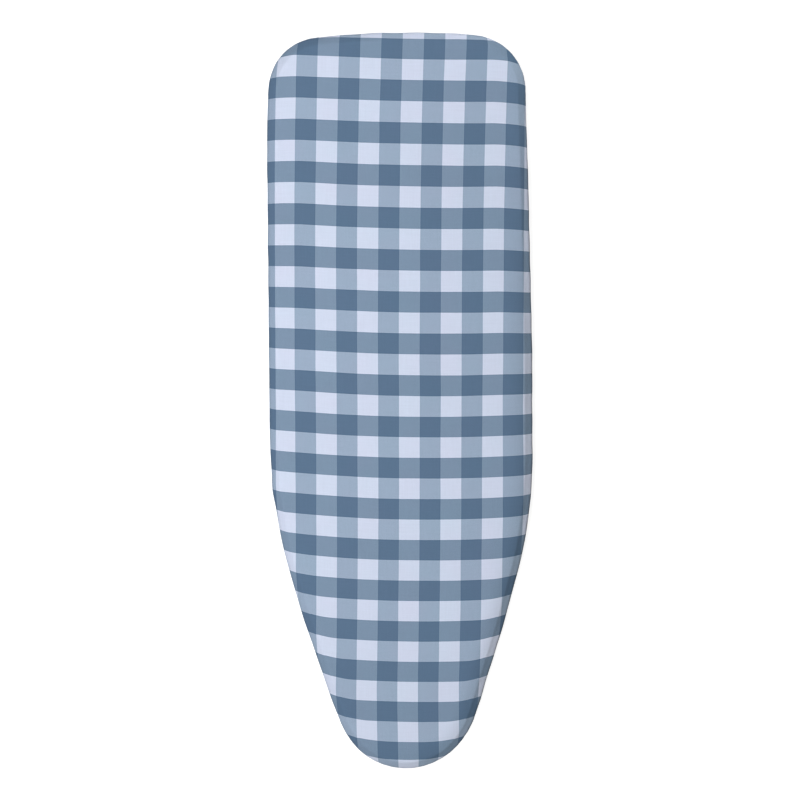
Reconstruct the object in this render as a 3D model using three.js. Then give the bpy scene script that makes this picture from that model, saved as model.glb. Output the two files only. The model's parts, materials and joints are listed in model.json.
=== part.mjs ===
// A padded ironing board cover with an elastic hem, in the shape it takes when it is fitted on its board.
// Millimetres, +Z up, +Y towards the square tail, -Y towards the nose.
// The origin is under the middle of the cover, on the plane that the hem rests on.
import * as THREE from "three";

// Outline of the fitted cover, seen from above
const coverLength = 904;
const tailHalfWidth = 155.2;
const widestHalfWidth = 162;
const widestFromNose = 433;
const tailBowRadius = 1086;
const tailCornerRadius = 68;
const shoulderReach = 121.7;
const noseRadius = 88.2;

// Layers
const clothThickness = 0.8;
const foamThickness = 4;
const feltThickness = 2;
const boardThickness = 14;
const boardClearance = 0.5;
const pieceGap = 0.3;

// How the cloth turns over the rim and goes under the board
const topRollRadius = 9;
const underRollRadius = 5;
const rawEdgeInset = 38;

// Elastic hem: a folded binding over the raw edge, with a flat elastic in its fold
const bindingThickness = 0.8;
const bindingOverlap = 5;
const bindingEntry = 1;
const elasticWidth = 6;
const elasticThickness = 1.2;
const elasticSlack = 0.6;

// Gathers that the elastic draws in at the nose and at both tail corners
const noseGathers = 14;
const cornerGathers = 5;
const gatherDepth = 1.8;
const hemRipple = 0.6;
const gatherPeakShare = 0.55;

// Plain stations on half of the outline
const bowSteps = 3;
const sideSteps = 2;
const shoulderSteps = 7;
const taperSteps = 2;

// Cross straps of elastic webbing with hook and loop ends
const strapWidth = 25;
const strapThickness = 1;
const strapSewnMargin = 1.5;
const strapLevelRun = 8;
const hookThickness = 0.7;
const loopThickness = 0.8;
const patchLength = 35;
const patchBorder = 1.5;
const patchCornerRadius = 3;
const tabSpare = 4;
const crossStraps = [
  { name: "nose_strap", fromNoseShare: 0.33 },
  { name: "middle_strap", fromNoseShare: 0.55 },
  { name: "tail_strap", fromNoseShare: 0.8 },
];

// Colours
const clothMaterial = new THREE.MeshStandardMaterial({ color: 0x90a6c0, roughness: 0.9, metalness: 0 });
const foamMaterial = new THREE.MeshStandardMaterial({ color: 0xf1ead6, roughness: 0.95, metalness: 0 });
const feltMaterial = new THREE.MeshStandardMaterial({ color: 0xc9c6c0, roughness: 1, metalness: 0 });
const bindingMaterial = new THREE.MeshStandardMaterial({ color: 0x5b7794, roughness: 0.85, metalness: 0 });
const elasticMaterial = new THREE.MeshStandardMaterial({ color: 0xf4f3ef, roughness: 0.8, metalness: 0 });
const webbingMaterial = new THREE.MeshStandardMaterial({ color: 0xeeede8, roughness: 0.8, metalness: 0 });
const hookMaterial = new THREE.MeshStandardMaterial({ color: 0xd9d9d6, roughness: 0.6, metalness: 0 });
const loopMaterial = new THREE.MeshStandardMaterial({ color: 0xe2e2df, roughness: 1, metalness: 0 });

// Heights, from the hem up to the ironing surface
const bindingCavity = Math.max(elasticThickness, clothThickness) + 2 * pieceGap;
const bindingHeight = bindingCavity + 2 * bindingThickness;
const hemMiddle = bindingHeight / 2;
const returnUnderside = bindingHeight - pieceGap - clothThickness;
const strapUnderside = bindingHeight + pieceGap;
const boardUnderside = strapUnderside + strapThickness + boardClearance;
const feltBottom = boardUnderside + boardThickness;
const feltTop = feltBottom + feltThickness;
const foamBottom = feltTop + pieceGap;
const foamTop = foamBottom + foamThickness;
const clothUnderside = foamTop + pieceGap;
const coverTop = clothUnderside + clothThickness;
const rollCentreHeight = coverTop - topRollRadius;
const rollFacet = Math.PI / 4;

// Insets from the outline, measured inwards
const bindingOuterInset = rawEdgeInset - bindingOverlap;
const elasticOuterInset = rawEdgeInset + elasticSlack;
const elasticInnerInset = elasticOuterInset + elasticWidth;
const bindingInnerInset = elasticInnerInset + elasticSlack + bindingThickness;

// Outline: tail bow, corner, side, shoulder, taper and nose, each tangent to the next

const tailY = coverLength / 2;
const noseY = -coverLength / 2;
const widestY = noseY + widestFromNose;
const sideLean = Math.atan2(widestHalfWidth - tailHalfWidth, tailY - widestY);

const along = (angle) => new THREE.Vector2(Math.cos(angle), Math.sin(angle));
const onArc = (centre, radius, angle) => along(angle).multiplyScalar(radius).add(centre);

const upTheSide = along(sideLean + Math.PI / 2);
const bowCentre = new THREE.Vector2(0, tailY - tailBowRadius);
const widestPoint = new THREE.Vector2(widestHalfWidth, widestY);
const noseCentre = new THREE.Vector2(0, noseY + noseRadius);
const cornerCentre = cornerTouchingBowAndSide();
const cornerStart = cornerCentre.clone().sub(bowCentre).angle();

// The side line and the taper line cross one shoulder reach past the widest point,
// and the shoulder arc leaves the side at that point and meets the taper equally far past the crossing.
const taperLean = taperTouchingNose(widestPoint.clone().addScaledVector(upTheSide, -shoulderReach));
const shoulderRadius = shoulderReach / Math.tan((sideLean - taperLean) / 2);
const shoulderCentre = onArc(widestPoint, -shoulderRadius, sideLean);

// The corner's centre lies one corner radius inside the side line, and inside the bow by the same amount.
function cornerTouchingBowAndSide() {
  const foot = onArc(widestPoint, -tailCornerRadius, sideLean);
  const fromBow = foot.clone().sub(bowCentre);
  const reach = tailBowRadius - tailCornerRadius;
  const half = fromBow.dot(upTheSide);
  const run = Math.sqrt(half * half - fromBow.lengthSq() + reach * reach) - half;
  return foot.addScaledVector(upTheSide, run);
}

// The angle of the outward normal of the line through a point that touches the nose arc
function taperTouchingNose(through) {
  const toPoint = through.clone().sub(noseCentre);
  return toPoint.angle() - Math.acos(noseRadius / toPoint.length());
}

// A station is a place on the outline: its point, its outward normal, and how deep a gather is folded there.
function arcStations(centre, radius, from, to, steps, folded) {
  return Array.from({ length: steps }, (_, i) => {
    const angle = from + ((to - from) * i) / steps;
    return { point: onArc(centre, radius, angle), normal: along(angle), fold: folded ? i % 2 : 0 };
  });
}

function lineStations(start, end, angle, steps) {
  return Array.from({ length: steps }, (_, i) => {
    return { point: start.clone().lerp(end, i / steps), normal: along(angle), fold: 0 };
  });
}

function halfOutline() {
  const sideTop = onArc(cornerCentre, tailCornerRadius, sideLean);
  const taperTop = onArc(shoulderCentre, shoulderRadius, taperLean);
  const taperEnd = onArc(noseCentre, noseRadius, taperLean);
  return [
    ...arcStations(bowCentre, tailBowRadius, Math.PI / 2, cornerStart, bowSteps, false),
    ...arcStations(cornerCentre, tailCornerRadius, cornerStart, sideLean, 2 * cornerGathers, true),
    ...lineStations(sideTop, widestPoint, sideLean, sideSteps),
    ...arcStations(shoulderCentre, shoulderRadius, sideLean, taperLean, shoulderSteps, false),
    ...lineStations(taperTop, taperEnd, taperLean, taperSteps),
    ...arcStations(noseCentre, noseRadius, taperLean, -Math.PI / 2, noseGathers, true),
    { point: new THREE.Vector2(0, noseY), normal: along(-Math.PI / 2), fold: noseGathers % 2 },
  ];
}

function mirrored({ point, normal, fold }) {
  const across = new THREE.Vector2(-1, 1);
  return { point: point.clone().multiply(across), normal: normal.clone().multiply(across), fold };
}

const rightHalf = halfOutline();
const noseIndex = rightHalf.length - 1;
const stations = [...rightHalf, ...rightHalf.slice(1, noseIndex).reverse().map(mirrored)];

// Rings around the outline: a section point says how far inside it a ring runs, how high,
// how far it dips in a gather, and how far it ripples up there.

const sectionPoint = (inset, z, dip = 0, ripple = 0) => ({ inset, z, dip, ripple });

// A point of a rounded edge in section, where turn 0 faces outwards and turn 90 degrees faces up
function rolledPoint(radius, centreInset, centreZ, turn) {
  return sectionPoint(centreInset - radius * Math.cos(turn), centreZ + radius * Math.sin(turn));
}

function ringOf({ inset, z, dip, ripple }) {
  return stations.map(({ point, normal, fold }) => {
    const at = point.clone().addScaledVector(normal, -inset);
    return [at.x, at.y, z + fold * (ripple * hemRipple - dip * gatherDepth)];
  });
}

function bandFaces(first, second, count) {
  const faces = [];
  for (let i = 0; i < count; i++) {
    const next = (i + 1) % count;
    faces.push(first + i, first + next, second + i);
    faces.push(second + i, first + next, second + next);
  }
  return faces;
}

// A flat end: each station on the right is joined to its mirror image on the left.
function capFaces(base, count, facesUp) {
  const faces = [];
  const add = (a, b, c) => {
    const turned = facesUp ? [a, c, b] : [a, b, c];
    faces.push(...turned.map((index) => base + index));
  };
  add(0, 1, count - 1);
  for (let i = 1; i < noseIndex - 1; i++) {
    add(i, i + 1, count - i);
    add(i + 1, count - i - 1, count - i);
  }
  add(noseIndex - 1, noseIndex, noseIndex + 1);
  return faces;
}

function meshFromRings(name, section, material, closedSection) {
  const rings = section.map(ringOf);
  const count = stations.length;
  const faces = [];
  for (let i = 0; i + 1 < rings.length; i++) faces.push(...bandFaces(i * count, (i + 1) * count, count));
  if (closedSection) {
    faces.push(...bandFaces((rings.length - 1) * count, 0, count));
  } else {
    faces.push(...capFaces(0, count, true));
    faces.push(...capFaces((rings.length - 1) * count, count, false));
  }
  const geometry = new THREE.BufferGeometry();
  geometry.setAttribute("position", new THREE.Float32BufferAttribute(rings.flat(2), 3));
  geometry.setIndex(faces);
  geometry.computeVertexNormals();
  return named(name, geometry, material);
}

function named(name, geometry, material) {
  const mesh = new THREE.Mesh(geometry, material);
  mesh.name = name;
  return mesh;
}

// The pieces of the cover itself

// The cloth's outer face runs from the ironing surface over the rim and back to the raw edge,
// and its inner face runs the same way back.
function coverCloth() {
  const underRollHeight = returnUnderside + underRollRadius;
  const hemUnderside = hemMiddle - clothThickness / 2;
  const entryInset = bindingOuterInset - bindingEntry;
  const peakInset = underRollRadius + (entryInset - underRollRadius) * gatherPeakShare;
  const innerRoll = topRollRadius - clothThickness;
  const outside = [
    sectionPoint(topRollRadius, coverTop),
    rolledPoint(topRollRadius, topRollRadius, rollCentreHeight, rollFacet),
    sectionPoint(0, rollCentreHeight),
    sectionPoint(0, underRollHeight),
    sectionPoint(underRollRadius, returnUnderside),
    sectionPoint(peakInset, returnUnderside, 1, 0),
    sectionPoint(entryInset, hemUnderside, 0, 1),
    sectionPoint(rawEdgeInset, hemUnderside, 0, 1),
  ];
  const inside = [
    sectionPoint(rawEdgeInset, hemUnderside + clothThickness, 0, 1),
    sectionPoint(entryInset, hemUnderside + clothThickness, 0, 1),
    sectionPoint(peakInset, returnUnderside + clothThickness, 1, 0),
    sectionPoint(underRollRadius, returnUnderside + clothThickness),
    sectionPoint(clothThickness, underRollHeight),
    sectionPoint(clothThickness, rollCentreHeight),
    rolledPoint(innerRoll, topRollRadius, rollCentreHeight, rollFacet),
    sectionPoint(topRollRadius, clothUnderside),
  ];
  return meshFromRings("cover_cloth", [...outside, ...inside], clothMaterial, false);
}

// A pad's rim follows the inside of the cloth's roll, one gap inside its facets.
function padLayer(name, bottom, top, material) {
  const reach = (topRollRadius - clothThickness) * Math.cos(rollFacet / 2) - pieceGap;
  const turnAt = (z) => Math.asin(Math.min(1, Math.max(0, (z - rollCentreHeight) / reach)));
  const turns = [turnAt(top), (turnAt(top) + turnAt(bottom)) / 2, turnAt(bottom)];
  const rim = turns.map((turn) => rolledPoint(reach, topRollRadius, rollCentreHeight, turn));
  rim[0].z = top;
  rim[2].z = bottom;
  return meshFromRings(name, rim, material, false);
}

// The binding's section is a hairpin that opens outwards and grips the cloth's raw edge.
function hemBinding() {
  const foldInset = bindingInnerInset - hemMiddle;
  const outerTurns = [-90, -45, 0, 45, 90].map(THREE.MathUtils.degToRad);
  const innerTurns = [90, 0, -90].map(THREE.MathUtils.degToRad);
  const bend = (radius) => (turn) =>
    sectionPoint(foldInset + radius * Math.cos(turn), hemMiddle + radius * Math.sin(turn), 0, 1);
  const cavityHalf = bindingCavity / 2;
  const section = [
    sectionPoint(bindingOuterInset, 0, 0, 1),
    ...outerTurns.map(bend(hemMiddle)),
    sectionPoint(bindingOuterInset, bindingHeight, 0, 1),
    sectionPoint(bindingOuterInset, hemMiddle + cavityHalf, 0, 1),
    ...innerTurns.map(bend(cavityHalf)),
    sectionPoint(bindingOuterInset, hemMiddle - cavityHalf, 0, 1),
  ];
  return meshFromRings("hem_binding", section, bindingMaterial, true);
}

function hemElastic() {
  const half = elasticThickness / 2;
  const section = [
    sectionPoint(elasticOuterInset, hemMiddle - half, 0, 1),
    sectionPoint(elasticInnerInset, hemMiddle - half, 0, 1),
    sectionPoint(elasticInnerInset, hemMiddle + half, 0, 1),
    sectionPoint(elasticOuterInset, hemMiddle + half, 0, 1),
  ];
  return meshFromRings("hem_elastic", section, elasticMaterial, true);
}

// Cross straps

// Half the width of the ring that runs at an inset, where it is narrowest along a strap's width
function halfWidthBeside(inset, centreY) {
  const points = rightHalf.map(({ point, normal }) => point.clone().addScaledVector(normal, -inset));
  const halfWidths = [centreY - strapWidth / 2, centreY + strapWidth / 2].map((y) => {
    const after = points.findIndex((point) => point.y <= y);
    const [above, below] = [points[after - 1], points[after]];
    return THREE.MathUtils.mapLinear(y, above.y, below.y, above.x, below.x);
  });
  return Math.min(...halfWidths);
}

// The midline of webbing that lies level from left to right
const level = (left, right, underside) => [
  [left, underside + strapThickness / 2],
  [right, underside + strapThickness / 2],
];

// Webbing as wide as a strap, from its midline in X and Z, with its width along Y
function strip(name, midline, material) {
  const half = strapThickness / 2;
  const shape = new THREE.Shape([
    ...midline.map(([x, z]) => new THREE.Vector2(x, z - half)),
    ...midline.toReversed().map(([x, z]) => new THREE.Vector2(x, z + half)),
  ]);
  const geometry = new THREE.ExtrudeGeometry(shape, { depth: strapWidth, bevelEnabled: false });
  geometry.rotateX(Math.PI / 2);
  geometry.translate(0, strapWidth / 2, 0);
  return named(name, geometry, material);
}

// A patch of hook or loop tape with rounded corners, from its left end
function patch(name, left, bottom, thickness, material) {
  const half = strapWidth / 2 - patchBorder;
  const corner = patchCornerRadius;
  const right = left + patchLength;
  const outline = new THREE.Shape();
  outline.absarc(right - corner, corner - half, corner, -Math.PI / 2, 0, false);
  outline.absarc(right - corner, half - corner, corner, 0, Math.PI / 2, false);
  outline.absarc(left + corner, half - corner, corner, Math.PI / 2, Math.PI, false);
  outline.absarc(left + corner, corner - half, corner, Math.PI, 1.5 * Math.PI, false);
  const extrusion = { depth: thickness, bevelEnabled: false, curveSegments: 3 };
  const geometry = new THREE.ExtrudeGeometry(outline, extrusion);
  geometry.translate(0, 0, bottom);
  return named(name, geometry, material);
}

// The strap is sewn to the left binding, crosses the mouth, and is held under a tab on the right binding.
function crossStrap({ name, fromNoseShare }) {
  const centreY = noseY + coverLength * fromNoseShare;
  const mouthHalf = halfWidthBeside(bindingInnerInset, centreY);
  const sewnHalf = halfWidthBeside(bindingOuterInset, centreY) - strapSewnMargin;

  const swingClearance = strapThickness / 2 + pieceGap;
  const hingeX = swingClearance - mouthHalf;
  const hingeZ = strapUnderside + strapThickness / 2;
  const patchRight = mouthHalf - tabSpare;
  const patchLeft = patchRight - patchLength;

  const loopUnderside = strapUnderside - pieceGap - loopThickness;
  const hookUnderside = loopUnderside - pieceGap - hookThickness;
  const freeEndTop = hookUnderside - pieceGap;

  const fixed = new THREE.Group();
  fixed.position.set(0, centreY, 0);
  fixed.add(
    strip(name + "_anchor", level(-sewnHalf, hingeX - pieceGap, strapUnderside), webbingMaterial),
    strip(name + "_tab", level(patchLeft - patchBorder, sewnHalf, strapUnderside), webbingMaterial),
    patch(name + "_loop_patch", patchLeft, loopUnderside, loopThickness, loopMaterial),
  );

  // The free webbing and its hook patch turn about the hinge line, which is this group's Y axis.
  const swinging = new THREE.Group();
  swinging.position.set(hingeX, centreY, hingeZ);
  const levelFrom = patchLeft - patchBorder - strapLevelRun - hingeX;
  const freeEnd = patchRight + patchBorder - hingeX;
  const midline = [
    [swingClearance, 0],
    [levelFrom, freeEndTop - strapThickness / 2 - hingeZ],
    [freeEnd, freeEndTop - strapThickness / 2 - hingeZ],
  ];
  swinging.add(
    strip(name + "_web", midline, webbingMaterial),
    patch(name + "_hook_patch", patchLeft - hingeX, hookUnderside - hingeZ, hookThickness, hookMaterial),
  );
  return [fixed, swinging];
}

const cover = new THREE.Group();
cover.add(
  coverCloth(),
  padLayer("foam_pad", foamBottom, foamTop, foamMaterial),
  padLayer("felt_backing", feltBottom, feltTop, feltMaterial),
  hemBinding(),
  hemElastic(),
  ...crossStraps.flatMap(crossStrap),
);

export default cover;
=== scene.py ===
# A padded ironing board cover in blue and white check, seen from above with its square tail at the top.
import json
import math

import bpy
import mathutils
import numpy as np
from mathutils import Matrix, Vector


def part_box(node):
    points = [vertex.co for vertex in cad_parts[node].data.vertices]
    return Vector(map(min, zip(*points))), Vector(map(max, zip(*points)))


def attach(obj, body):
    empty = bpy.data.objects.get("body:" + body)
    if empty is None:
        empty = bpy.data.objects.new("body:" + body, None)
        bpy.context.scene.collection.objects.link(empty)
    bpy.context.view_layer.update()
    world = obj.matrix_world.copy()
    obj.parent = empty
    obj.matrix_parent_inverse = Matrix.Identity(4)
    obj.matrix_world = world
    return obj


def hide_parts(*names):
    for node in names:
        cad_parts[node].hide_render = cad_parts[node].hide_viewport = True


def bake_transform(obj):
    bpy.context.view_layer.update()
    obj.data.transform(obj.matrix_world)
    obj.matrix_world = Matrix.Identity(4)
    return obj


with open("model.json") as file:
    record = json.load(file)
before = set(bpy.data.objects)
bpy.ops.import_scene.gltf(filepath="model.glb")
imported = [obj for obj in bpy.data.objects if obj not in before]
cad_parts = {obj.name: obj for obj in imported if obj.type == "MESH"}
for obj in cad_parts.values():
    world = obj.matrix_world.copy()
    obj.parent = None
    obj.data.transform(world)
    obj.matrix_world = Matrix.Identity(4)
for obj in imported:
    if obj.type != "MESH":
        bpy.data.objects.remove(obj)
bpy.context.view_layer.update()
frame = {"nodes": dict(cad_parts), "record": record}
mm = 0.001
print("frame:", len(frame["nodes"]), "CAD nodes")

# Camera, placed so that the outline falls where the photograph has it
photoCamera = {
    "place": (-0.03065, 0.21607, 2.2),
    "turn": (-0.094341, -0.013057, -0.018183),  # about X, then Y, then Z
    "focalPixels": 1795.3,
    "imagePixels": 800,
    "sensor": 36.0,
}


def addCamera():
    # focal length in millimetres = focal length in pixels · sensor width / picture width in pixels
    data = bpy.data.cameras.new("photoCamera")
    data.sensor_width = photoCamera["sensor"]
    data.lens = photoCamera["focalPixels"] * photoCamera["sensor"] / photoCamera["imagePixels"]
    camera = bpy.data.objects.new("photoCamera", data)
    camera.location = photoCamera["place"]
    camera.rotation_mode = "ZYX"
    camera.rotation_euler = photoCamera["turn"]
    bpy.context.scene.collection.objects.link(camera)
    bpy.context.scene.camera = camera


# Materials: a wire is a socket that can stand in a sum, and a recipe is the node tree of one material.
class Wire:
    def __init__(self, recipe, socket):
        self.recipe, self.socket = recipe, socket

    def math(self, operation, first, second=None):
        inputs = {0: first} if second is None else {0: first, 1: second}
        return self.recipe.node("ShaderNodeMath", {"operation": operation}, inputs)

    def __add__(self, other):
        return self.math("ADD", self, other)

    def __sub__(self, other):
        return self.math("SUBTRACT", self, other)

    def __rsub__(self, other):
        return self.math("SUBTRACT", other, self)

    def __mul__(self, other):
        return self.math("MULTIPLY", self, other)

    def __truediv__(self, other):
        return self.math("DIVIDE", self, other)

    def __pow__(self, other):
        return self.math("POWER", self, other)

    __radd__ = __add__
    __rmul__ = __mul__

    def sine(self):
        return self.math("SINE", self)

    def size(self):
        return self.math("ABSOLUTE", self)

    def above(self, limit):
        return self.math("GREATER_THAN", self, limit)

    def held(self):
        return self.recipe.node("ShaderNodeClamp", {}, {"Value": self})


class Recipe:
    def __init__(self, name, roughness=0.9, sheen=0.0, specular=0.3, tree=None):
        if tree is not None:  # the world's
            self.tree = tree
            return
        self.material = bpy.data.materials.new(name)
        self.material.use_nodes = True
        self.tree = self.material.node_tree
        self.shader = self.tree.nodes["Principled BSDF"]
        self.shader.inputs["Roughness"].default_value = roughness
        self.shader.inputs["Sheen Weight"].default_value = sheen
        self.shader.inputs["Specular IOR Level"].default_value = specular

    # A node of a type with its settings, then the values or links of its sockets
    def node(self, kind, settings, inputs, output=0):
        made = self.tree.nodes.new(kind)
        for key, value in settings.items():
            setattr(made, key, value)
        for key, value in inputs.items():
            if isinstance(value, Wire):
                self.tree.links.new(value.socket, made.inputs[key])
            else:
                made.inputs[key].default_value = value
        return Wire(self, made.outputs[output])

    def place(self):
        return self.node("ShaderNodeTexCoord", {}, {}, "Object")

    # The two numbers of a piece's own UV map
    def surface(self, layer):
        both = self.node("ShaderNodeUVMap", {"uv_map": layer}, {})
        return [self.node("ShaderNodeSeparateXYZ", {}, {"Vector": both}, axis) for axis in "XY"]

    def joined(self, x, y, z=0.0):
        return self.node("ShaderNodeCombineXYZ", {}, {"X": x, "Y": y, "Z": z})

    # The two numbers of a place along the object's own x and y
    def flatPlace(self):
        return [self.node("ShaderNodeSeparateXYZ", {}, {"Vector": self.place()}, axis) for axis in "XY"]

    def noise(self, vector, scale, detail=2.0, roughness=0.5):
        inputs = {"Vector": vector, "Scale": scale, "Detail": detail, "Roughness": roughness}
        return self.node("ShaderNodeTexNoise", {}, inputs)

    # Distance to the nearest of scattered points
    def cells(self, vector, scale):
        return self.node("ShaderNodeTexVoronoi", {}, {"Vector": vector, "Scale": scale})

    # first where the mask is 0 and second where it is 1
    def mixed(self, mask, first, second, way="MIX"):
        first, second = [c if isinstance(c, Wire) else (*c, 1) for c in (first, second)]
        settings = {"data_type": "RGBA", "blend_type": way, "clamp_factor": False}
        return self.node("ShaderNodeMix", settings, {"Factor": mask, "A": first, "B": second}, "Result")

    # A colour made lighter or darker by a number about 1
    def shaded(self, colour, amount):
        return self.mixed(1.0, colour, self.joined(amount, amount, amount), "MULTIPLY")

    # The material with a colour and with bumps, each lying on the one before it
    def finish(self, colour, heights):
        normal = None
        for height, distance in heights:
            inputs = {"Height": height, "Distance": distance}
            if normal is not None:
                inputs["Normal"] = normal
            normal = self.node("ShaderNodeBump", {}, inputs)
        self.tree.links.new(colour.socket, self.shader.inputs["Base Color"])
        self.tree.links.new(normal.socket, self.shader.inputs["Normal"])
        return self.material


def fromScreen(red, green, blue):
    # sRGB numbers from 0 to 255 as the linear colour that shaders use
    shares = np.array([red, green, blue]) / 255
    return tuple(np.where(shares < 0.04045, shares / 12.92, ((shares + 0.055) / 1.055) ** 2.4).tolist())


checkCloth = {
    "bothBlue": fromScreen(92, 116, 143),  # blue weft over blue warp
    "weftBlue": fromScreen(126, 147, 171),
    "warpBlue": fromScreen(155, 173, 196),
    "white": fromScreen(209, 218, 239),
    "edgeSharpness": 20.0,  # how fast one stripe turns into the next
    "edgeContrast": 0.22,  # the closer yarns at a stripe's edge
    "yarnsPerStripe": 56,
    "yarnContrast": 0.16,
    "streaks": 0.1,
    "warmTint": (1.035, 0.985, 1.0),
    "coolTint": (0.965, 1.015, 1.0),
    "shade": 0.05,
    "yarnHeight": 0.00006,
    "creaseHeight": 0.0011,
}


def stripe(count):
    # Blue where the sine of a stripe count is above zero, 0 to 1 with a little more contrast at the edges
    wave = (math.pi * count).sine()
    blue = (checkCloth["edgeSharpness"] * wave + 0.5).held()
    beside = (3.0 * wave + 0.5).held()
    return blue + checkCloth["edgeContrast"] * (blue - beside)


def checkMaterial():
    # The UV map counts stripes. Yarns cross where both finer sines have the same sign.
    cloth = checkCloth
    r = Recipe("checkCloth", roughness=0.92, sheen=0.02, specular=0.1)
    place = r.place()
    across, down = r.surface("weave")
    sway = r.noise(place, 9.0, 2.0) - 0.5
    drift = r.noise(place, 14.0, 2.0) - 0.5
    across, down = across + 0.05 * drift, down + 0.06 * sway
    blueColumn, blueRow = [stripe(count) for count in (across, down)]
    columnOnly = r.mixed(blueColumn, cloth["white"], cloth["warpBlue"])
    inBlueRow = r.mixed(blueColumn, cloth["weftBlue"], cloth["bothBlue"])
    colour = r.mixed(blueRow, columnOnly, inBlueRow)
    yarns = math.pi * cloth["yarnsPerStripe"]
    over = (yarns * across).sine() * (yarns * down).sine()
    onlyOne = blueRow - blueColumn  # which yarn shows lighter where just one of the two is blue
    weftStreaks = r.noise(r.joined(across * 0.8, down * 14.0), 1.0, 4.0, 0.62) - 0.5
    warpStreaks = r.noise(r.joined(across * 14.0, down * 0.8), 1.0, 4.0, 0.62) - 0.5
    shade = r.noise(place, 7.0, 3.0) - 0.5
    amount = 1 + cloth["yarnContrast"] * over * onlyOne + cloth["streaks"] * (weftStreaks + warpStreaks)
    colour = r.shaded(colour, amount + cloth["shade"] * shade)
    warm, cool = r.noise(r.joined(across * 0.5, down * 0.5, 3.0), 1.0, 2.0), r.joined(*cloth["coolTint"])
    colour = r.mixed(1.0, colour, r.mixed(warm, cool, r.joined(*cloth["warmTint"])), "MULTIPLY")
    creases = r.noise(r.joined(across * 0.32, down * 0.2), 1.0, 2.0) * 0.5 + r.noise(place, 26.0, 2.0) * 0.08
    # small puckers where the cloth was pulled tight over the right rim
    beyondRim = (4 * (across - 11.05)).held() * (1.2 - 0.45 * (down - 7.6).size()).held()
    creases = creases + 0.5 * beyondRim * r.noise(r.joined(across * 0.7, down * 5.5), 1.0, 2.0)
    yarnRise = over.size() + weftStreaks + warpStreaks
    return r.finish(colour, [(creases, cloth["creaseHeight"]), (yarnRise, cloth["yarnHeight"])])


tape = {"blue": fromScreen(91, 119, 148), "yarn": 0.5, "streaks": 0.14}


def bindingMaterial():
    # Plain weave cut on the bias: the yarns run at 45 degrees to the tape.
    r = Recipe("biasBinding", roughness=0.82, sheen=0.15, specular=0.3)
    run, across = r.surface("tape")
    turn = math.pi / tape["yarn"]
    over = (turn * (run + across)).sine() * (turn * (run - across)).sine()
    streaks = r.noise(r.joined((run + across) * 0.3, (run - across) * 3.0), 1.0, 2.0) - 0.5
    colour = r.shaded(tape["blue"], 1 + 0.12 * over + tape["streaks"] * streaks)
    return r.finish(colour, [(over.size(), 0.00007), (streaks, 0.0001)])


padding = {
    "foam": (0.80, 0.74, 0.56),
    "felt": (0.50, 0.49, 0.47),
    "blueFibre": (0.16, 0.20, 0.28),
    "paleFibre": (0.74, 0.72, 0.68),
}


def foamMaterial():
    # Open cells: darker in the middle of each one, and sunk there too. The darkening is painted shade in the
    # pores.
    r = Recipe("openCellFoam", roughness=0.95, specular=0.1)
    place = r.place()
    poreShadeAndDepth = r.cells(place, 900.0)
    tone = r.noise(place, 20.0, 3.0) - 0.5
    # 0.25 times the pore value darkens each pore's middle as painted shade; tone is a random change of tone
    colour = r.shaded(padding["foam"], 0.9 + 0.25 * poreShadeAndDepth + 0.12 * tone)
    return r.finish(colour, [(poreShadeAndDepth, 0.0004)])


def feltMaterial():
    # Needled felt: three layers of short crossing fibres from stretched noise, thin pale and blue fibres
    # among them, soft clouds and the dents of the needles
    r = Recipe("needledFelt", roughness=1.0, sheen=0.2, specular=0.1)
    place = r.place()
    x, y = r.flatPlace()
    x = x + r.noise(place, 170.0, 2.0) * 0.0035
    y = y + r.noise(place, 140.0, 2.0) * 0.0035
    fibres = 0
    for angle, share in ((0.2, 0.36), (1.35, 0.34), (2.4, 0.3)):
        along = math.cos(angle) * x + math.sin(angle) * y
        beside = math.cos(angle) * y - math.sin(angle) * x
        fibres = fibres + share * r.noise(r.joined(along * 300, beside * 3200, angle), 1.0, 2.0, 0.6)
    blue = r.noise(r.joined((x + 0.4 * y) * 260, (y - 0.4 * x) * 1700), 1.0, 1.0).above(0.7)
    pale = r.noise(r.joined((x - 0.8 * y) * 300, (y + 0.8 * x) * 1900, 5.0), 1.0, 1.0).above(0.68)
    clouds = r.noise(place, 30.0, 4.0, 0.6) - 0.5
    colour = r.mixed(blue * 0.55, padding["felt"], padding["blueFibre"])
    colour = r.mixed(pale * 0.6, colour, padding["paleFibre"])
    colour = r.shaded(colour, 0.36 + 1.3 * fibres + 0.3 * clouds)
    dents = r.cells(r.joined(x * 420, y * 420), 1.0)
    return r.finish(colour, [(clouds, 0.0022), (dents, 0.0004), (fibres, 0.0011)])


braidedTape = {"colour": (0.80, 0.79, 0.75), "cord": 0.85, "thread": 0.7}


def elasticMaterial():
    # Braided elastic: cords along the tape with slanting threads over them
    r = Recipe("braidedElastic", roughness=0.75, sheen=0.1)
    run, across = r.surface("tape")
    cords = (math.pi * across / braidedTape["cord"]).sine().size()
    braid = (math.pi * (run / braidedTape["thread"] + across / braidedTape["cord"])).sine().size()
    # darker between the cords and between the slanting threads: painted shade in the hollows
    colour = r.shaded(braidedTape["colour"], 0.75 + 0.2 * cords + 0.1 * braid)
    return r.finish(colour, [(cords, 0.0003), (braid, 0.0001)])


# the groove colour is a grey painted as shade into the grooves between the cords
webbing = {"colour": fromScreen(236, 234, 227), "groove": (0.50, 0.49, 0.46), "cord": 1.45, "pick": 0.95}


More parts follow.
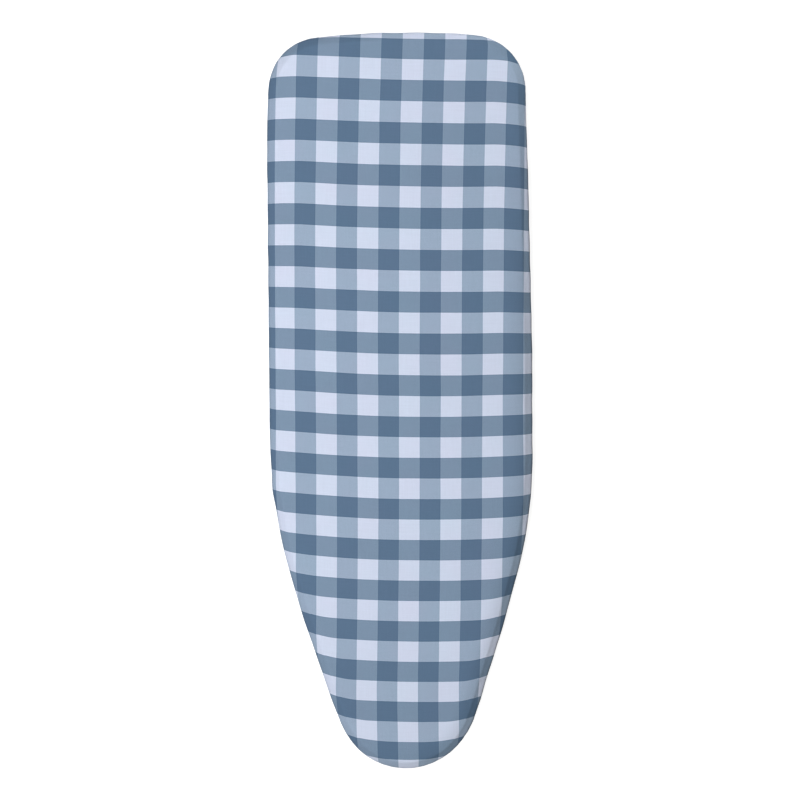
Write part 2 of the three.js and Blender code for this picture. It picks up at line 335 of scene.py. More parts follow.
def webbingMaterial():
    # Woven elastic: rounded cords run the length of the strap, and fine picks cross each cord,
    # half a pick later on every second one.
    r = Recipe("strapWebbing", roughness=0.8, sheen=0.12, specular=0.3)
    place = r.place()
    run, across = r.surface("tape")
    cord = (math.pi * across / webbing["cord"]).sine()
    picks = math.pi * run / webbing["pick"]
    second = cord.above(0.0)
    pick = picks.sine() * second + (picks + math.pi / 2).sine() * (1 - second)
    groove = cord.size() ** 0.5
    soil = r.noise(place, 30.0, 3.0) - 0.5
    fuzz = r.noise(place, 2600.0, 2.0) - 0.5
    # painted shade: grey in the grooves between the cords, and lighter on the crests of the picks than
    # between them
    colour = r.mixed(groove, webbing["groove"], webbing["colour"])
    colour = r.shaded(colour, 0.97 + 0.06 * pick.size() + 0.07 * soil + 0.08 * fuzz)
    return r.finish(colour, [(groove, 0.00035), (pick.size() * groove, 0.00016), (fuzz, 0.0001)])


patchTape = {"hook": (0.66, 0.66, 0.64), "loop": (0.74, 0.74, 0.72), "weave": 0.0008}


def hookMaterial():
    # The moulded nylon of the hooks, with the weave of their backing tape
    r = Recipe("hookTape", roughness=0.45, specular=0.5)
    turn = math.pi / patchTape["weave"]
    x, y = r.flatPlace()
    ribs = (x * turn).sine().size() * (y * turn).sine().size()
    tone = r.noise(r.place(), 180.0, 2.0) - 0.5
    # lighter on the ribs of the backing weave and darker between them: painted shade
    colour = r.shaded(patchTape["hook"], 0.9 + 0.12 * ribs + 0.15 * tone)
    return r.finish(colour, [(ribs, 0.0001)])


def loopMaterial():
    # The brushed nylon of the loops, fine fuzz with darker gaps, the darkness of the gaps being painted shade
    r = Recipe("loopTape", roughness=0.95, sheen=0.3, specular=0.2)
    place = r.place()
    fuzz = r.noise(place, 1900.0, 4.0, 0.65)
    tone = r.noise(place, 220.0, 2.0) - 0.5
    # the fuzz's darker gaps are painted shade; tone is a random change of tone
    colour = r.shaded(patchTape["loop"], 0.62 + 0.66 * fuzz + 0.15 * tone)
    return r.finish(colour, [(fuzz, 0.0006)])


def threadMaterial(name, colour):
    # Twisted thread: slanting plies round each stitch
    r = Recipe(name, roughness=0.6, sheen=0.1, specular=0.4)
    run, across = r.surface("tape")
    plies = (math.pi * (run / 0.35 + 2 * across)).sine().size()
    # darker between the plies: painted shade in the hollows of the twist
    return r.finish(r.shaded(colour, 0.75 + 0.3 * plies), [(plies, 0.00008)])


# Meshes
def smooth(share):
    # 3t² - 2t³ of a share held between 0 and 1
    held = np.clip(share, 0, 1)
    return held * held * (3 - 2 * held)


def wobble(run, cycles, seed, count=9):
    # A sum of sines of whole cycles per round, so that it closes, of about unit size
    dice = np.random.default_rng(seed)
    whole = dice.integers(*cycles, count)
    shift = dice.uniform(0, 2 * math.pi, count)
    return np.sin(2 * math.pi * np.outer(run / run[-1], whole) + shift).sum(1) / math.sqrt(count / 2)


def addPiece(name, points, faces, uv, material, creaseAngle=None):
    # points in millimetres, faces as rows of point numbers, uv one pair for each corner of each face
    mesh = bpy.data.meshes.new(name)
    mesh.from_pydata((points * mm).tolist(), [], faces.tolist())
    layerName, pairs = uv
    layer = mesh.uv_layers.new(name=layerName)
    layer.data.foreach_set("uv", pairs.astype(np.float32).ravel())
    mesh.shade_smooth()
    if creaseAngle is not None:
        mesh.set_sharp_from_angle(angle=math.radians(creaseAngle))
    mesh.materials.append(material)
    piece = bpy.data.objects.new(name, mesh)
    bpy.context.scene.collection.objects.link(piece)
    return piece


def weldGrid(grid, pairs):
    # Two triangles for each cell of a grid of points. Coincident points become one, triangles that lose
    # a side that way are left out, and all are turned over if the shell's volume comes out negative.
    rows, columns = grid.shape[:2]
    flat = grid.reshape(-1, 3)
    _, first, weld = np.unique(np.round(flat, 5), axis=0, return_index=True, return_inverse=True)
    weld = weld.ravel()
    cell = (np.arange(rows - 1)[:, None] * columns + np.arange(columns - 1)).ravel()
    corners = np.concatenate(
        [
            np.stack([cell, cell + 1, cell + columns + 1], 1),
            np.stack([cell, cell + columns + 1, cell + columns], 1),
        ]
    )
    faces = weld[corners]
    whole = (faces != np.roll(faces, 1, 1)).all(1)
    corners, faces, points = corners[whole], faces[whole], flat[first]
    a, b, c = (points[faces[:, k]] for k in range(3))
    if (a * np.cross(b, c)).sum() < 0:
        corners, faces = corners[:, ::-1], faces[:, ::-1]
    return points, faces, pairs.reshape(-1, 2)[corners]


def addShell(name, grid, pairs, layer, material, creaseAngle=None):
    # A piece from a grid of points and the numbers of its UV map at each of them
    points, faces, pairs = weldGrid(grid, pairs)
    return addPiece(name, points, faces, (layer, pairs), material, creaseAngle)


def smoothPath(knots, count):
    # Catmull-Rom curve through the knots
    knots = np.array(knots, float)
    held = np.vstack([2 * knots[0] - knots[1], knots, 2 * knots[-1] - knots[-2]])
    at = np.linspace(0, len(knots) - 1, count)
    cell = np.minimum(at.astype(int), len(knots) - 2)
    t = (at - cell)[:, None]
    a, b, c, d = (held[cell + k] for k in range(4))
    return 0.5 * (2 * b + (c - a) * t + (2 * a - 5 * b + 4 * c - d) * t**2 + (3 * b - a - 3 * c + d) * t**3)


def runAlong(points):
    # Length of a polyline up to each of its points
    return np.concatenate([[0], np.cumsum(np.linalg.norm(np.diff(points, axis=0), axis=1))])


def tubeShape(path, radii, sides):
    # A tube round a path in the plane of x and z: path + radius · (cos a · y + sin a · normal),
    # closed at both ends by a radius of zero
    path = np.array(path, float)
    path = np.vstack([path[:1], path, path[-1:]])
    radii = np.concatenate([[0], radii, [0]])
    ahead = np.gradient(path[1:-1], axis=0)
    ahead = np.vstack([ahead[:1], ahead, ahead[-1:]])
    ahead /= np.linalg.norm(ahead, axis=1, keepdims=True)
    turn = np.linspace(0, 2 * math.pi, sides + 1)[None]
    out = radii[:, None] * np.sin(turn)
    grid = np.stack(
        [
            path[:, :1] - out * ahead[:, 1:],
            radii[:, None] * np.cos(turn),
            path[:, 1:] + out * ahead[:, :1],
        ],
        -1,
    )
    pairs = np.stack(np.broadcast_arrays(runAlong(path)[:, None], turn / (2 * math.pi)), -1)
    return weldGrid(grid, pairs)


def addCopies(name, shape, origins, alongs, ups, material):
    # Each copy's point is origin + x · along + y · across + z · up, where across is up × along.
    template, templateFaces, templatePairs = shape
    across = np.cross(ups, alongs)
    x, y, z = (template[:, k][None, :, None] for k in range(3))
    points = origins[:, None] + x * alongs[:, None] + y * across[:, None] + z * ups[:, None]
    faces = templateFaces[None] + len(template) * np.arange(len(origins))[:, None, None]
    pairs = np.tile(templatePairs.reshape(-1, 2), (len(origins), 1))
    return addPiece(name, points.reshape(-1, 3), faces.reshape(-1, 3), ("tape", pairs), material)


sewing = {
    "thread": fromScreen(126, 152, 182),
    "radius": 0.2,
    "proud": 0.03,  # how far the middle of a stitch stands off its line
    "dip": 0.25,  # how fast it arches down to its ends
    "sides": 6,
    "pitch": 2.9,  # on the hem
    "length": 2.2,
    "strapPitch": 2.3,
    "strapLength": 1.75,
}


def addStitches(name, paths, up, pitch, length, material):
    # Capsules at an even pitch along polylines, lying along them and standing proud towards up. Each is a
    # flat arch: proud - dip · (place along the stitch / length)².
    share = np.array([-0.4, -0.15, 0.15, 0.4])
    arch = np.stack([share * length, sewing["proud"] - sewing["dip"] * share**2], 1)
    shape = tubeShape(arch, sewing["radius"] * np.array([0.6, 1, 1, 0.6]), sewing["sides"])
    origins, alongs = [], []
    for path in paths:
        run = runAlong(path)
        count = max(1, round(run[-1] / pitch))
        at = (np.arange(count) + 0.5) * run[-1] / count
        near = (at - 0.4, at + 0.4)
        start, end = (np.stack([np.interp(a, run, path[:, k]) for k in range(3)], 1) for a in near)
        alongs.append((end - start) / np.linalg.norm(end - start, axis=1, keepdims=True))
        origins.append((start + end) / 2)
    origins, alongs = np.vstack(origins), np.vstack(alongs)
    ups = np.tile(np.array(up, float), (len(origins), 1))
    return addCopies(name, shape, origins, alongs, ups, material)


# Outline of the fitted cover in millimetres, as in the CAD
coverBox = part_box("cover_cloth")
coverOutline = {
    "length": (coverBox[1].y - coverBox[0].y) / mm,
    "widestHalf": coverBox[1].x / mm,
    "tailHalf": 155.2,
    "widestFromNose": 433.0,
    "bowRadius": 1086.0,
    "cornerRadius": 68.0,
    "shoulderReach": 121.7,
    "noseRadius": 88.2,
    "hemInset": 36.0,  # where spacing and gathers are measured
    "cornerReach": 26.0,  # how far the gathers run on past the corner and the nose
    "noseReach": 46.0,
    "denseSpacing": (3.1, 0.66),  # between stations on straight runs and in the gathers
    "sparseSpacing": (7.0, 3.0),
}


def towards(angle):
    # Unit step (cos a, sin a)
    return np.array([math.cos(angle), math.sin(angle)])


def arcRun(centre, radius, start, end, count):
    # Rows of centre + radius · (cos a, sin a) and a, from the start angle to the end angle
    turn = np.linspace(start, end, count)
    return np.stack([centre[0] + radius * np.cos(turn), centre[1] + radius * np.sin(turn), turn], 1)


def lineRun(start, end, turn, count):
    # Rows of start + share · (end - start) and the one angle of the line's normal
    share = np.linspace(0, 1, count)[:, None]
    return np.hstack([start + (end - start) * share, np.full((count, 1), turn)])


def outlineHalf():
    # Rows of x, y and the outward normal's angle from the middle of the tail to the tip of the nose.
    # Each arc touches the next one: bow, corner, side, shoulder, taper, nose.
    o = coverOutline
    tailY, noseY = o["length"] / 2, -o["length"] / 2
    widest = np.array([o["widestHalf"], noseY + o["widestFromNose"]])
    lean = math.atan2(o["widestHalf"] - o["tailHalf"], tailY - widest[1])
    upTheSide = towards(lean + math.pi / 2)
    bowCentre = np.array([0, tailY - o["bowRadius"]])
    noseCentre = np.array([0, noseY + o["noseRadius"]])
    foot = widest - o["cornerRadius"] * towards(lean)
    fromBow = foot - bowCentre
    reach = o["bowRadius"] - o["cornerRadius"]
    half = fromBow @ upTheSide
    cornerCentre = foot + upTheSide * (math.sqrt(half**2 - fromBow @ fromBow + reach**2) - half)
    cornerStart = math.atan2(*(cornerCentre - bowCentre)[::-1])
    toShoulder = widest - o["shoulderReach"] * upTheSide - noseCentre
    taper = math.atan2(toShoulder[1], toShoulder[0]) - math.acos(o["noseRadius"] / np.linalg.norm(toShoulder))
    shoulderRadius = o["shoulderReach"] / math.tan((lean - taper) / 2)
    shoulderCentre = widest - shoulderRadius * towards(lean)
    sideTop = cornerCentre + o["cornerRadius"] * towards(lean)
    taperTop = shoulderCentre + shoulderRadius * towards(taper)
    taperEnd = noseCentre + o["noseRadius"] * towards(taper)
    runs = [
        arcRun(bowCentre, o["bowRadius"], math.pi / 2, cornerStart, 300),
        arcRun(cornerCentre, o["cornerRadius"], cornerStart, lean, 400),
        lineRun(sideTop, widest, lean, 500),
        arcRun(shoulderCentre, shoulderRadius, lean, taper, 400),
        lineRun(taperTop, taperEnd, taper, 300),
        arcRun(noseCentre, o["noseRadius"], taper, -math.pi / 2, 500),
    ]
    starts = np.cumsum([0] + [len(run) - 1 for run in runs])
    return np.vstack([run[:-1] for run in runs] + [runs[-1][-1:]]), starts


def stationsAlong(plainSpacing, gatheredSpacing):
    # Places all round the outline, closer together where the hem gathers. The right half is spaced by its
    # run along the hem, and the left half is its mirror image. gather goes from 0 on straight runs to 1.
    half, starts = outlineHalf()
    ring = half[:, :2] - coverOutline["hemInset"] * np.stack([np.cos(half[:, 2]), np.sin(half[:, 2])], 1)
    hem = np.concatenate([[0], np.cumsum(np.hypot(*np.diff(ring, axis=0).T))])
    toCorner = np.maximum(np.maximum(hem[starts[1]] - hem, hem - hem[starts[2]]), 0)
    toNose = np.maximum(hem[starts[5]] - hem, 0)
    atCorner = smooth(1 - toCorner / coverOutline["cornerReach"])
    gather = np.maximum(atCorner, smooth(1 - toNose / coverOutline["noseReach"]))
    spacing = plainSpacing + (gatheredSpacing - plainSpacing) * gather**0.6
    count = np.concatenate([[0], np.cumsum(np.diff(hem) / ((spacing[1:] + spacing[:-1]) / 2))])
    at = np.linspace(0, count[-1], math.ceil(count[-1]) + 1)
    x, y, turn, hem, gather = (np.interp(at, count, v) for v in (*half.T, hem, gather))
    x[0] = x[-1] = 0.0
    back = slice(-2, None, -1)
    return {
        "x": np.concatenate([x, -x[back]]),
        "y": np.concatenate([y, y[back]]),
        "turn": np.concatenate([turn, -math.pi - turn[back]]),
        "hem": np.concatenate([hem, 2 * hem[-1] - hem[back]]),
        "gather": np.concatenate([gather, gather[back]]),
    }


def phaseOf(stations, plainLength, gatheredLength, seed):
    # The turn of a wave along the hem whose length changes with the gathers and wavers from one to the next,
    # in whole turns for the round
    length = plainLength + (gatheredLength - plainLength) * stations["gather"]
    length = length * (1 + 0.16 * wobble(stations["hem"], (20, 90), seed))
    steps = np.diff(stations["hem"]) * 2 / (length[1:] + length[:-1])
    turns = np.concatenate([[0], np.cumsum(steps)])
    return turns * (2 * math.pi * round(turns[-1]) / turns[-1])


def ringPoints(stations, inset, height, sideways=0.0):
    # A point at an inset from the outline is the outline's point less inset times its outward normal,
    # moved sideways along the outline; inset and height are grids of rings by stations.
    normal = np.stack([np.cos(stations["turn"]), np.sin(stations["turn"])], -1)
    tangent = np.stack([np.sin(stations["turn"]), -np.cos(stations["turn"])], -1)
    edge = np.stack([stations["x"], stations["y"]], -1)
    inset, height, sideways = np.broadcast_arrays(inset, height, sideways)
    flat = edge[None] - inset[..., None] * normal[None] + sideways[..., None] * tangent[None]
    points = np.concatenate([flat, height[..., None]], -1)
    points[:, -1] = points[:, 0]
    return points


def spineOf(stations, tailEnd, noseEnd):
    # The line down the middle that the flat rings close on, between its two ends
    return np.stack([np.zeros_like(stations["x"]), np.clip(stations["y"], noseEnd, tailEnd)], -1)


print("camera and outline")
addCamera()
dense = stationsAlong(*coverOutline["denseSpacing"])
sparse = stationsAlong(*coverOutline["sparseSpacing"])

# Cover cloth: flat top, rolled rim, side, and the return under the board, drawn into folds where it gathers
coverCloth = {
    "top": coverBox[1].z / mm,
    "thickness": 0.5,
    "topRoll": 12.0,
    "firstTurn": 52.0,  # degrees
    "underRoll": 5.0,
    "returnHeight": 2.3,
    "entryInset": 32.0,
    "rawEdgeInset": 38.0,
    "hemMiddle": 1.7,
    "topRings": 13,
    "rimRings": 5,  # of those, the ones beside the rim
    "crownDrop": (0.4, 3.0, 1.7),  # at the left rim, the right rim, and its tail end
    "crownReach": 18.0,
    "crownTail": (150.0, 80.0),  # where the right rim starts to change to its tail end, and over what length
    "crownBeyond": (1.35, 9.0),  # the roll's run in radii, and the run down the side where the crown ends
    "paddingGap": 1.35,
    "spineTail": 300.0,
    "spineNose": -363.8,
    "foldLength": 7.6,
    "foldDepth": 1.75,
    "foldLean": 0.95,
    "leanFrom": (20.0, 20.0),  # the run over the rim where the folds start to lean over, and over what length
    "creaseFrom": (38.0, 15.0),  # and where each fold's flanks crease
    "creaseShare": 0.25,
    "foldRaise": 0.3,
    "puckerLength": 19.0,
    "puckerDepth": 0.32,
    "rimWave": 0.22,
    "topWave": 0.12,
    "returnFrom": 22.0,  # the inset where the return starts to sink to the hem
    "stripeBend": 20.0,  # how far from the rim the rows of stripes begin to bow
}


def crownAt(stations, fromRim):
    # How far the padded top has sunk at a distance from the rim: drop · (1 - distance / reach)². On the roll
    # beyond, where the distance is below zero, it goes on at the same slope, then back to nothing lower down.
    left, right, rightTail = coverCloth["crownDrop"]
    tailFrom, tailLength = coverCloth["crownTail"]
    rollShare, sideRun = coverCloth["crownBeyond"]
    right = right + (rightTail - right) * smooth((stations["y"] - tailFrom) / tailLength)
    reach, rollEnd = coverCloth["crownReach"], rollShare * coverCloth["topRoll"]
    drop = left + (right - left) * smooth(0.5 + 0.5 * np.cos(stations["turn"]))
    share = np.clip(-fromRim / rollEnd, 0, 1)
    beyond = 1 - smooth((-fromRim - rollEnd) / sideRun) + 2 * (rollEnd / reach) * share * (1 - share) ** 2
    return drop * np.where(fromRim > 0, np.clip(1 - fromRim / reach, 0, 1) ** 2, beyond)


# Stretches where the cloth sits further in or out than the plain outline: side, middle, half length, inset
unevenRim = (
    (1, -30.0, 62.0, 2.1),
    (-1, 388.0, 34.0, 1.9),
    (-1, -98.0, 16.0, -1.6),
    (1, -228.0, 34.0, 1.2),
    (1, 352.0, 30.0, 0.8),
    (-1, -222.0, 30.0, 1.0),
    (-1, -412.0, 26.0, 1.6),
    (1, -415.0, 20.0, 1.5),
)


def unevenAt(stations):
    # Sum of inset · e^-((y - middle) / half length)² over the stretches of a side
    inset = 0.0
    for side, middle, reach, depth in unevenRim:
        onSide = smooth(0.5 + 0.1 * side * stations["x"])
        inset = inset + depth * onSide * np.exp(-(((stations["y"] - middle) / reach) ** 2))
    return inset


def rollPath():
    # Outward and downward run of the cloth over the rim. It turns to firstTurn at the board's edge and to
    # 90 degrees further on; both runs are scaled to the size of the roll.
    share = np.linspace(0, 1, 90)
    first = math.radians(coverCloth["firstTurn"])
    tilt = first * smooth(share / 0.16) + (math.pi / 2 - first) * smooth((share - 0.42) / 0.58)
    out, down = np.cumsum(np.cos(tilt)), np.cumsum(np.sin(tilt))
    return [coverCloth["topRoll"] * (way - way[0]) / np.ptp(way) for way in (out, down)]


def clothRings():
    # The cloth's section from the top's edge to the raw edge: where each ring lies on it, the normal there,
    # and how much of each kind of fold the ring takes
    c = coverCloth
    quarter = np.linspace(0, math.pi / 2, 60)
    rollOut, rollDown = rollPath()
    lower = c["returnHeight"] + c["underRoll"]
    hemUnder = c["hemMiddle"] - c["thickness"] / 2
    back = np.linspace(c["underRoll"], c["rawEdgeInset"], 120)
    sink = smooth((back - c["returnFrom"]) / (c["entryInset"] - c["returnFrom"]))
    # roll from facing up to facing out, side, roll from facing out to facing down, return
    outwards = np.concatenate(
        [
            rollOut - c["topRoll"],
            -c["underRoll"] * (1 - np.cos(quarter)),
            -back[1:],
        ]
    )
    height = np.concatenate(
        [
            c["top"] - rollDown,
            lower - c["underRoll"] * np.sin(quarter),
            c["returnHeight"] + (hemUnder - c["returnHeight"]) * sink[1:],
        ]
    )
    run = np.concatenate([[0], np.cumsum(np.hypot(np.diff(outwards), np.diff(height)))])
    rollEnd = run[len(rollOut) - 1]
    sideEnd = rollEnd + (c["top"] - c["topRoll"]) - lower
    underEnd = sideEnd + c["underRoll"] * math.pi / 2
    at = np.concatenate(
        [
            rollEnd * np.array([0, 0.06, 0.12, 0.19, 0.3, 0.42, 0.54, 0.66, 0.77, 0.88]),
            np.linspace(rollEnd, sideEnd, 5)[:-1],
            np.linspace(sideEnd, underEnd, 6)[:-1],
            np.linspace(underEnd, run[-1], 19),
        ]
    )
    tangentOut = np.gradient(outwards, run)
    tangentUp = np.gradient(height, run)
    size = np.hypot(tangentOut, tangentUp)
    marks = [0, rollEnd, sideEnd, underEnd, underEnd + 13, underEnd + 20, run[-1] - 6, run[-1]]
    return {
        "run": at,
        "inset": -np.interp(at, run, outwards),
        "height": np.interp(at, run, height),
        "normalOut": np.interp(at, run, -tangentUp / size),
        "normalUp": np.interp(at, run, tangentOut / size),
        "foldShare": np.interp(at, marks, [0, 0.05, 0.14, 0.4, 0.9, 1.0, 0.52, 0.2]),
        "puckerShare": np.interp(at, marks, [0, 0.05, 0.2, 0.4, 0.6, 0.8, 1.0, 0.5]),
        "rimShare": np.interp(at, marks, [0, 0.8, 1.0, 0.6, 0.4, 0.2, 0, 0]),
        "inBinding": np.interp(at, marks, [0, 0, 0, 0, 0, 0.3, 1, 1]),
        "unevenShare": np.interp(at, marks, [1, 1, 1, 0.8, 0, 0, 0, 0]),
    }


hemCrimp = {"plainLength": 9.0, "gatheredLength": 4.6, "plainDepth": 0.14, "gatheredDepth": 0.55}


def crimpOf(stations):
    # How far the drawn-in tape stands off its rest height, from 0 up
    depth = hemCrimp["plainDepth"] + (hemCrimp["gatheredDepth"] - hemCrimp["plainDepth"]) * stations["gather"]
    turn = phaseOf(stations, hemCrimp["plainLength"], hemCrimp["gatheredLength"], 31)
    return depth * (0.5 + 0.5 * np.cos(turn)) * (0.8 + 0.2 * wobble(stations["hem"], (30, 80), 32))


def stripesAt(x, y, besideRim):
    # Stripes counted across and down the cloth from a place on its flat cut in metres: a slightly skewed grid
    # of 25.4 mm stripes. Its rows bow, more so beside the rims, and its columns lean at the nose. besideRim
    # goes from 0 to 1 at the rim.
    across = 5.141 + 39.44 * x - 0.62 * y - 1.06 * x**2 - 2.4 * y**3
    across = across - 0.17 * np.clip((-y - 0.34) / 0.11, 0, 1.4) ** 1.5
    atRims = 0.05 * np.clip((x - 0.11) / 0.03, 0, 1) - 0.06 * np.clip((-x - 0.13) / 0.02, 0, 1)
    across = across + atRims * smooth((y + 0.1) / 0.1)
    down = 15.612 - 1.545 * x - 39.465 * y + 9.9 * x**2 - 16.86 * x**2 * y
    drag = 0.138 * smooth((y + 0.15) / 0.45) + 0.04 * smooth((y - 0.33) / 0.08)
    down = down - drag * np.where(x > 0, 1.2, 1) * np.clip((np.abs(x) - 0.115) / 0.045, 0, 1) ** 1.5
    down = down - 0.07 * smooth((y - 0.38) / 0.07) * np.exp(-(((x - 0.02) / 0.075) ** 2))
    down = down + 0.1 * besideRim**1.5 * smooth((-y - 0.1) / 0.2)
    return np.stack([across, down], -1)


def makeCoverCloth():
    # Grid of rings by stations: rings on the flat top from the spine out, then round the section to the raw
    # edge, then back along the inner face. Gathers are cosine waves along the hem whose flanks lean over.
    c, s, rings = coverCloth, dense, clothRings()
    count = len(s["x"])
    column = {key: value[:, None] for key, value in rings.items()}
    gather = s["gather"][None]
    turn = phaseOf(s, c["puckerLength"], c["foldLength"], 11)
    stray = wobble(s["hem"], (12, 40), 12)
    turn = turn[None] + 0.7 * stray[None] * smooth(1 - column["run"] / column["run"][-1])
    swell = np.clip(1 + 0.22 * wobble(s["hem"], (40, 120), 13), 0.5, 1.5)[None]
    foldDepth = c["foldDepth"] * gather * column["foldShare"] * swell
    puckerDepth = c["puckerDepth"] * (1 - gather) * column["puckerShare"] * swell
    creaseFrom, creaseLength = c["creaseFrom"]
    crease = c["creaseShare"] * foldDepth * np.cos(2 * turn + 2 * stray[None])
    crease = crease * smooth((column["run"] - creaseFrom) / creaseLength)
    rim = c["rimWave"] * column["rimShare"] * wobble(s["hem"], (16, 52), 14)[None]
    lift = (foldDepth + puckerDepth) * np.cos(turn) + crease + rim
    leanFrom, leanLength = c["leanFrom"]
    lean = c["foldLean"] * (foldDepth / c["foldDepth"]) * np.sin(2 * turn)
    lean = lean * smooth((column["run"] - leanFrom) / leanLength)
    raised = c["foldRaise"] * gather * column["foldShare"] + crimpOf(s)[None] * column["inBinding"]
    raised = raised - crownAt(s, -column["run"])
    inset = column["inset"] - column["normalOut"] * lift + unevenAt(s)[None] * column["unevenShare"]
    height = column["height"] + column["normalUp"] * lift + raised
    skirt = ringPoints(s, inset, height, lean)

    spine = spineOf(s, c["spineTail"], c["spineNose"])
    edge = ringPoints(s, c["topRoll"] + unevenAt(s)[None], c["top"] * np.ones((1, count)))[0, :, :2]
    share = (1 - (1 - np.linspace(0, 1, c["topRings"] + 1)[:-1]) ** 1.4)[:, None, None]
    flat = spine[None] + (edge - spine)[None] * share
    x, y = flat[..., 0], flat[..., 1]
    soft = np.sin(x / 31 + y / 57) * np.sin(y / 43 - x / 70) + 0.6 * np.sin(x / 17 - y / 29 + 1)
    level = c["top"] + c["topWave"] * soft * smooth((1 - share[..., 0]) / 0.3) - c["topWave"]
    level = level + c["topWave"] * smooth(1 - (1 - share[..., 0]) / 0.3)
    fromRim = (1 - share[..., 0]) * np.linalg.norm(edge - spine, axis=-1)[None]
    level = level - crownAt(s, fromRim)
    top = np.concatenate([flat, level[..., None]], -1)
    outer = np.concatenate([top, skirt])
    outer[:, -1] = outer[:, 0]

    alongRing = np.roll(outer, -1, 1) - np.roll(outer, 1, 1)
    alongRing[:, 0] = alongRing[:, -1] = outer[:, 1] - outer[:, -2]
    facing = np.cross(alongRing, np.gradient(outer, axis=0))
    facing[: c["topRings"]] = (0, 0, 1)
    facing /= np.linalg.norm(facing, axis=-1, keepdims=True)
    facing *= np.where(facing[c["topRings"] + 2, :1, 2:] < 0, -1, 1) * np.ones_like(facing)
    facing[: c["topRings"]] = (0, 0, 1)
    # the inner face keeps every third ring on the flat, all beside the rim, and then every second one
    flatRings, last = c["topRings"], len(outer) - 1
    beside = flatRings - c["rimRings"]
    kept = [np.arange(0, beside, 3), np.arange(beside, flatRings), np.arange(flatRings, last, 2), [last]]
    kept = np.concatenate(kept)
    inner = (outer - c["thickness"] * facing)[kept][::-1]

    cut = edge[None] + column["run"][..., None] * np.stack([np.cos(s["turn"]), np.sin(s["turn"])], -1)[None]
    cut = np.concatenate([flat, cut])
    rawEdge = cut[-1]
    area = abs((rawEdge[:-1, 0] * rawEdge[1:, 1] - rawEdge[1:, 0] * rawEdge[:-1, 1]).sum()) / 2
    size = np.ptp(rawEdge, axis=0)
    besideRim = np.concatenate([np.clip(1 - fromRim / c["stripeBend"], 0, 1), np.ones_like(inset)])
    stripes = stripesAt(cut[..., 0] * mm, cut[..., 1] * mm, besideRim)
    grid = np.concatenate([outer, inner])
    pairs = np.concatenate([stripes, stripes[kept][::-1]])
    piece = addShell("coverCloth", grid, pairs, "weave", checkMaterial())
    print("cover cloth: flat", np.round(size), "mm,", round(area * mm**2, 3), "m2")
    return piece, size * mm, area * mm**2


coverPiece, flatSize, flatArea = makeCoverCloth()
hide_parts("cover_cloth")
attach(coverPiece, "cover")

# Hem: a tape folded over the raw edge, with the elastic in its fold and one row of stitches
hem = {
    "thickness": 0.62,
    "rings": 34,
    "edgeInset": 33.0,
    "stitchInset": 35.0,
    "foldInset": 44.1,
    "foldRadius": 1.7,
    "pullDepth": 0.42,
    "sway": 0.3,  # how far the gathers move the fold in and out
    "elasticInsets": (38.6, 44.4),
    "elasticHeights": (1.15, 2.25),
}


def tapePath():
    # The hairpin in section, as inset and height: from the lower edge to the fold and back along the top
    middle = hem["foldRadius"]
    lower = np.array(
        [
            [hem["edgeInset"], 0.46],
            [hem["edgeInset"] + 1.1, 0.40],
            [hem["stitchInset"], 0.56],
            [hem["stitchInset"] + 1.0, 0.36],
            [38.0, 0.07],
            [41.0, 0.0],
        ]
    )
    turn = np.radians([-90, -55, -20, 20, 55, 90])
    fold = np.stack([hem["foldInset"] + middle * np.cos(turn), middle + middle * np.sin(turn)], 1)
    upper = np.stack([lower[::-1, 0], 2 * middle - lower[::-1, 1]], 1)
    return smoothPath(np.vstack([lower, fold, upper]), hem["rings"])


def thickLoop(path, thickness):
    # The path, a rounded end, the path moved to its left by the thickness, and the other rounded end
    ahead = np.gradient(path, axis=0)
    ahead /= np.linalg.norm(ahead, axis=1, keepdims=True)
    left = np.stack([-ahead[:, 1], ahead[:, 0]], 1)
    inner = path + thickness * left
    far = (path[-1] + inner[-1]) / 2 + 0.4 * thickness * ahead[-1]
    near = (path[0] + inner[0]) / 2 - 0.4 * thickness * ahead[0]
    loop = np.vstack([path, far, inner[::-1], near, path[:1]])
    sides = np.vstack([left, left[-1], left[::-1], left[0], left[:1]])
    return loop, sides


threadFinish = threadMaterial("sewingThread", sewing["thread"])


def makeHem():
    # Hem section at each station, raised by the crimps and pulled in between them
    s = dense
    loop, sides = thickLoop(tapePath(), hem["thickness"])
    turn = phaseOf(s, hemCrimp["plainLength"], hemCrimp["gatheredLength"], 31)
    pull = hem["pullDepth"] * (0.25 + 0.75 * s["gather"]) * (0.5 - 0.5 * np.cos(turn + 0.9))
    pull = pull * (0.75 + 0.25 * wobble(s["hem"], (60, 140), 33))
    share = smooth((loop[:, 0] - hem["stitchInset"]) / 4)[:, None]
    pulled = sides * share
    sway = hem["sway"] * s["gather"][None] * np.sin(turn)[None] * share
    inset = loop[:, :1] + pulled[:, :1] * pull[None] + sway
    height = loop[:, 1:] + pulled[:, 1:] * pull[None] + crimpOf(s)[None]
    grid = ringPoints(s, inset, height)
    pairs = np.stack(np.broadcast_arrays(s["hem"][None], runAlong(loop)[:, None]), -1)
    binding = addShell("hemBinding", grid, pairs, "tape", bindingMaterial())
    underside = loop[: hem["rings"] // 2, 0]
    groove = np.argmin(np.abs(underside - hem["stitchInset"]))
    seam = grid[groove] + (0, 0, 0.02)
    stitches = addStitches("hemStitches", [seam], (0, 0, -1), sewing["pitch"], sewing["length"], threadFinish)

    # the elastic's section: a flat tape with its edges rounded off
    low, high = hem["elasticHeights"]
    section = np.array([[0, 0.3], [0.4, 0], [2, -0.05], [4, -0.05], [5.4, 0], [5.8, 0.3]])
    section = np.vstack([section, section[::-1] * (1, -1) + (0, high - low)])
    section = np.vstack([section, section[:1]]) + (hem["elasticInsets"][0], low)
    grid = ringPoints(s, section[:, :1] + 0 * s["x"], section[:, 1:] + crimpOf(s)[None])
    pairs = np.stack(np.broadcast_arrays(s["hem"][None], runAlong(section)[:, None]), -1)
    elastic = addShell("hemElastic", grid, pairs, "tape", elasticMaterial(), 60)
    return binding, stitches, elastic


